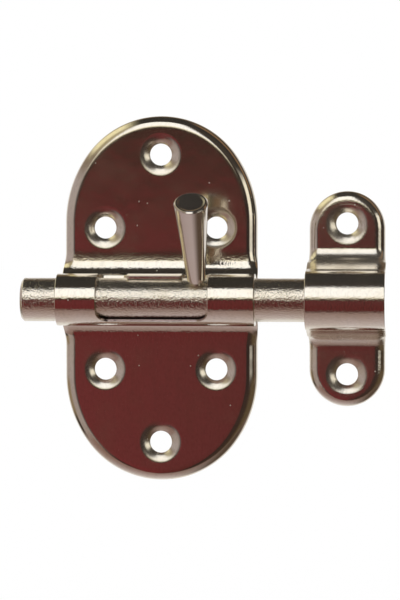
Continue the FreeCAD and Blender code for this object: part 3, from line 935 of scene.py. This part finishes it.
        flat, triangles = fill(np.array(border), [outline], self.column_step,
                               self.tube * math.radians(TUBE_STEP))
        angle = flat[:, 1] / self.tube
        spoke = np.stack([0 * angle, -np.cos(angle), np.sin(angle)], 1)
        points = spoke * self.tube + np.array((0.0, AXIS_Y, 0.0))
        points[:, 0] = flat[:, 0]
        face.add(points, spoke, triangles)


@dataclass
class BarrelPlate(Stamping):
    """The oval plate with its barrel, window, notches and tongue."""

    name: str = "barrel_plate_sheet"
    middle: float = 0.0
    height: float = 2.5
    bends: tuple[Triple, ...] = ((30.0, 0.0, 4.0), (4.8, 0.0, 90.0))
    neck: float = 4.5
    tube: float = 6.0
    crease: float = 0.5
    form_width: float = 45.6
    holes: tuple[Point, ...] = (
        (-13.0, -16.5), (-13.0, 16.5), (13.0, -16.5), (13.0, 16.5), (0.0, -33.5), (0.0, 33.5))
    half_width: float = 22.5
    half_length: float = 42.5
    outline_step: float = 0.7
    side_rows: int = 10
    crown: float = 21.45  # radius of the ends' middle arc
    shoulder: float = 27.0  # radius of their side arcs
    window: Point = (-13.4, 12.2)  # X of its ends
    tongue: Point = (-6.6, 6.1)
    low_angle: float = -55.0
    tongue_angle: float = 67.5
    notch_angle: float = 110.0
    corners: Triple = (3.0, 1.2, 0.35)  # radii: window, notches, tongue with its edge

    def arcs(self) -> list[Arc]:
        """The upper half of the oval: a side arc, the crown and a side arc."""
        aside = self.shoulder - self.half_width
        crown_z = self.half_length - self.crown
        shoulder_z = crown_z - math.sqrt((self.shoulder - self.crown) ** 2 - aside ** 2)
        meet = math.atan2(crown_z - shoulder_z, aside)
        return [((-aside, shoulder_z), self.shoulder, 0.0, meet),
                ((0.0, crown_z), self.crown, meet, math.pi - meet),
                ((aside, shoulder_z), self.shoulder, math.pi - meet, math.pi)]

    def opening(self) -> Array:
        """The window, the two notches and the tongue between them, as X and distance round the barrel."""
        around = math.radians(self.tube)
        left, right = self.window[0] - EDGE, self.window[1] + EDGE
        tongue_left, tongue_right = self.tongue[0] + EDGE, self.tongue[1] - EDGE
        low = self.low_angle * around - EDGE
        high, tongue = self.notch_angle * around + EDGE, self.tongue_angle * around + EDGE
        corner, notch, tip = self.corners[0] + EDGE, self.corners[1] + EDGE, self.corners[2]
        return rounded([(left, low, corner), (right, low, corner), (right, high, notch),
                        (tongue_right, high, notch), (tongue_right, tongue, tip),
                        (tongue_left, tongue, tip), (tongue_left, high, notch), (left, high, notch)],
                       0.3, closed=True)


@dataclass
class Keeper(Stamping):
    """The arched keeper with a dished lug at each end."""

    name: str = "keeper_sheet"
    middle: float = 43.4
    height: float = 2.2
    bends: tuple[Triple, ...] = ((3.4, 0.0, 72.0), (8.0, 4.8, 90.0))
    neck: float = 6.85
    tube: float = 6.85
    crease: float = 0.0
    form_width: float = 18.2
    holes: tuple[Point, ...] = ((0.0, -17.5), (0.0, 17.5))
    half_width: float = 8.8
    half_length: float = 25.0
    outline_step: float = 0.5
    side_rows: int = 6

    def arcs(self) -> list[Arc]:
        """The upper lug's half round end."""
        return [((0.0, self.half_length - self.half_width), self.half_width, 0.0, math.pi)]


# The bolt, its handle and the clip


@dataclass
class BoltRod:
    """The round bolt, with the groove for the clip."""

    left: float = -31.0
    right: float = 44.0
    radius: float = 5.0
    chamfer: float = 0.6
    groove: float = 17.5
    groove_half: float = 0.48
    groove_radius: float = 4.07
    soft: float = 0.25  # radius of the chamfers' edges
    lip: float = 0.08  # radius of the groove's edges

    def build(self, lathe: Lathe) -> Object:
        """Turns the bolt."""
        low, high = self.groove - self.groove_half, self.groove + self.groove_half
        face = self.radius - self.chamfer
        chain = rounded([
            (self.left, 0.0, 0.0), (self.left, face, self.soft),
            (self.left + self.chamfer, self.radius, self.soft),
            (low, self.radius, self.lip), (low, self.groove_radius, self.lip),
            (high, self.groove_radius, self.lip), (high, self.radius, self.lip),
            (self.right - self.chamfer, self.radius, self.soft),
            (self.right, face, self.soft), (self.right, 0.0, 0.0),
        ], 1.5, closed=False)
        return lathe.turn("bolt_bar", chain, Vector((0.0, AXIS_Y, 0.0)), Vector((1.0, 0.0, 0.0)),
                          Vector((0.0, 1.0, 0.0)), 120, Finish.ROD)


@dataclass
class Handle:
    """The turned handle, from its shank in the bolt to its tip."""

    x: float = 9.6
    angle: float = 53.0
    shank: float = 1.0
    foot: float = 6.15
    reach: float = 27.9
    neck_radius: float = 1.1
    foot_radius: float = 2.1
    tip_radius: float = 3.875
    tip_edge: float = 0.35
    hollow: float = 0.16  # depth of the turned hollow in the tip's face
    soft: float = 0.15  # radius of the cone's edges

    def build(self, lathe: Lathe) -> Object:
        """Turns the handle."""
        face = self.tip_radius - self.tip_edge
        chain = rounded([
            (self.shank, 0.0, 0.0), (self.shank, self.neck_radius, 0.1),
            (self.foot, self.neck_radius, 0.06), (self.foot, self.foot_radius, self.soft),
            (self.reach - self.tip_edge, self.tip_radius, self.soft), (self.reach, face, self.soft),
            (self.reach, face - 0.35, 0.2), (self.reach - self.hollow, face - 0.9, 1.0),
            (self.reach - self.hollow, 0.0, 0.0),
        ], 0.8, closed=False)
        turn = math.radians(self.angle)
        return lathe.turn("handle_turned", chain, Vector((self.x, AXIS_Y, 0.0)),
                          Vector((0.0, -math.cos(turn), math.sin(turn))), Vector((1.0, 0.0, 0.0)), 96,
                          Finish.HANDLE)


# The studio


@dataclass
class Studio:
    """The camera, whose places are in metres, the pale floor and the room that the metal mirrors."""

    camera_at: Triple = (0.0687, -0.645, 0.0202)
    aim: Triple = (0.009, 0.0, -0.0004)
    field_of_view: float = 12.34
    floor_z: float = -120.0
    floor_half: float = 6000.0

    def build(self) -> None:
        """Sets up the view, the camera, the floor and the room."""
        scene = bpy.context.scene
        scene.view_settings.view_transform = "Standard"
        camera = bpy.data.objects.new("camera", bpy.data.cameras.new("camera"))
        scene.collection.objects.link(camera)
        camera.location = self.camera_at
        camera.rotation_euler = (Vector(self.aim) - Vector(self.camera_at)).to_track_quat("-Z", "Y").to_euler()
        camera.data.angle = math.radians(self.field_of_view)
        camera.data.clip_start = 0.01
        camera.data.clip_end = 50.0
        scene.camera = camera
        self._floor()
        scene.world = self._room()

    def _floor(self) -> Object:
        """A wide pale floor below the bolt."""
        corners = np.array([(x * self.floor_half, y * self.floor_half, self.floor_z)
                            for x, y in ((-1, -1), (1, -1), (1, 1), (-1, 1))])
        mesh = new_mesh("floor", corners, [range(4)])
        material = bpy.data.materials.new("floor")
        tree = cleared(material)
        shader = add_node(tree, "ShaderNodeBsdfDiffuse", {"Color": (1.0, 1.0, 1.0, 1.0)})
        add_node(tree, "ShaderNodeOutputMaterial", {"Surface": shader.outputs[0]})
        mesh.materials.append(material)
        floor = new_object("floor", mesh)
        floor.visible_glossy = False
        return floor

    def _room(self) -> bpy.types.World:
        """Builds the world: white to the camera, even to matt things, and a furnished room to metal.

        The room is laid out by the tilt that a mirror needs to show it, in degrees from facing the
        front: "aside" to the right and "up" upwards.

        Returns:
            The world.
        """
        world = bpy.data.worlds.new("room")
        tree = cleared(world)
        direction = add_node(tree, "ShaderNodeTexCoord").outputs["Generated"]
        x, y, z = split(tree, direction)
        tilt = (-y).math("ARCCOSINE") * math.degrees(0.5)
        length = (x * x + z * z).math("SQRT") + 1e-5
        aside, up = tilt * x / length, tilt * z / length
        drift = Value(tree, add_node(tree, "ShaderNodeTexNoise", {
            "Vector": direction, "Scale": 3.0, "Detail": 2.0}).outputs["Fac"]) - 0.5
        level, rise = (number.math("ARCSINE") * math.degrees(1.0) for number in (y, z))
        turn = up.math("ARCTAN2", -aside) * math.degrees(1.0)  # 0 on the left, 90 above, -90 below
        near = tilt.step(6.0, 18.0)
        room: Colour | Socket = (0.034, 0.022, 0.019)

        def lay(mask: Value, first: Colour | Socket, shade: Value | None = None,
                second: Colour | None = None) -> None:
            """Lays a colour over the room, or a mix of two, where the mask is 1."""
            nonlocal room
            if shade is not None:
                first = mix_colours(tree, shade, first, second)
            room = mix_colours(tree, mask, room, first)

        # The shade above and the brown things on the right, with an orange edge far above
        lay(up.step(2.0, 8.0), (0.050, 0.040, 0.032), tilt.step(22.0, 40.0), (0.033, 0.029, 0.025))
        lay(aside.step(0.0, 5.0) * up.step(-1.0, -5.0),
            (0.050, 0.030, 0.023), tilt.step(16.0, 36.0), (0.120, 0.085, 0.048))
        lay((tilt + aside * 0.25).band(50.0, 62.0, 5.0) * aside.step(10.0, 20.0) * up.step(8.0, 16.0),
            (0.24, 0.145, 0.08))
        # The wall on the left, pinkish above and golden below, with a dark gap to the table
        lay(near * turn.band(-42.0, 40.0, 14.0),
            (0.40, 0.335, 0.315), turn.step(-16.0, 8.0), (0.45, 0.39, 0.385))
        lay(tilt.step(32.0, 46.0) * turn.band(-24.0, -5.0, 7.0), (0.30, 0.225, 0.14))
        lay(near * turn.band(24.0, 38.0, 12.0), (0.26, 0.20, 0.15))
        lay(tilt.step(38.0, 46.0) * turn.band(-33.0, -22.0, 6.0), (0.056, 0.042, 0.031))
        # The table below, lighter towards the object, nearer on the left and browner on the right
        below = drift * 3.0 - up
        table_end = (aside + up * 0.9).step(40.0, 10.0)
        lay((below - (aside + 4.0).math("MINIMUM", 0.0) * 1.2).step(20.0, 25.0) * turn.step(-30.0, -38.0)
            * table_end, (0.27, 0.165, 0.14), (-up).step(10.0, 80.0), (0.80, 0.74, 0.75))
        lay(below.step(20.0, 25.0) * aside.step(-4.0, 27.0) * table_end, (0.11, 0.076, 0.055))
        # The tall window on the upper left and the lamp above, yellow at its lower edge
        lay(near * turn.band(35.0, 64.0, 12.0),
            (0.46, 0.40, 0.26), tilt.step(26.0, 40.0), (1.06, 0.98, 0.64))
        lay((up + drift * 1.5).band(4.4, 26.0, 2.4) * aside.step(6.0, 2.0) * aside.step(-14.0, -8.0),
            (1.05, 0.95, 0.66), up.step(3.5, 9.0), (1.30, 1.30, 1.30))
        # The narrow lamp on the right
        lay(aside.band(16.0, 32.0, 4.0) * up.step(-3.5, 1.5) * (up - aside * 0.45).step(4.0, -1.0),
            (1.15, 1.10, 0.96))
        # The dark red backdrop in front, round the camera, browner towards its upper edge
        lay(aside.step(2.4, 0.2) * aside.step(-8.6, -6.4) * up.step(4.4, 2.6) * up.step(-21.5, -19.5),
            mix_colours(tree, aside.step(-4.6, -1.6), (0.168, 0.031, 0.033), (0.122, 0.029, 0.027)),
            up.step(-0.5, 1.0), (0.045, 0.023, 0.016))
        # The pale room behind, with its ceiling in shade
        lay(level.step(20.0, 50.0) * rise.step(60.0, 45.0),
            (0.19, 0.14, 0.085), rise.step(38.0, 22.0), (0.92, 0.90, 0.88))

        glossy = Value(tree, add_node(tree, "ShaderNodeLightPath").outputs["Is Glossy Ray"])
        seen = mix_colours(tree, glossy, (1.0, 1.0, 1.0), room)
        background = add_node(tree, "ShaderNodeBackground", {"Color": seen, "Strength": 1.0})
        add_node(tree, "ShaderNodeOutputWorld", {"Surface": background.outputs[0]})
        return world


def main() -> None:
    """Builds the bolt and its studio, and reports each piece."""
    logging.basicConfig(level=logging.INFO, format="%(name)s: %(message)s")
    lathe = Lathe()
    stamps = stamps_tree()
    Studio().build()
    made = [
        (BarrelPlate().build(lathe, stamps, Finish.SHEET), "plate", "barrel_plate", "plated_sheet"),
        (Keeper().build(lathe, stamps, Finish.SHEET), "plate", "keeper", "plated_sheet"),
        (BoltRod().build(lathe), "bolt", "bolt_rod", "plated_rod"),
        (Handle().build(lathe), "bolt", "handle", "turned_handle"),
    ]
    for piece, body, node, slot in made:
        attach(piece, body)
        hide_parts(node)
        log.info("%s: %d points on %s", piece.name, len(piece.data.vertices), body)
    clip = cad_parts["friction_clip"]
    clip.data.materials.clear()
    clip.data.materials.append(Finish.CLIP.dress())


if __name__ == "__main__":
    main()
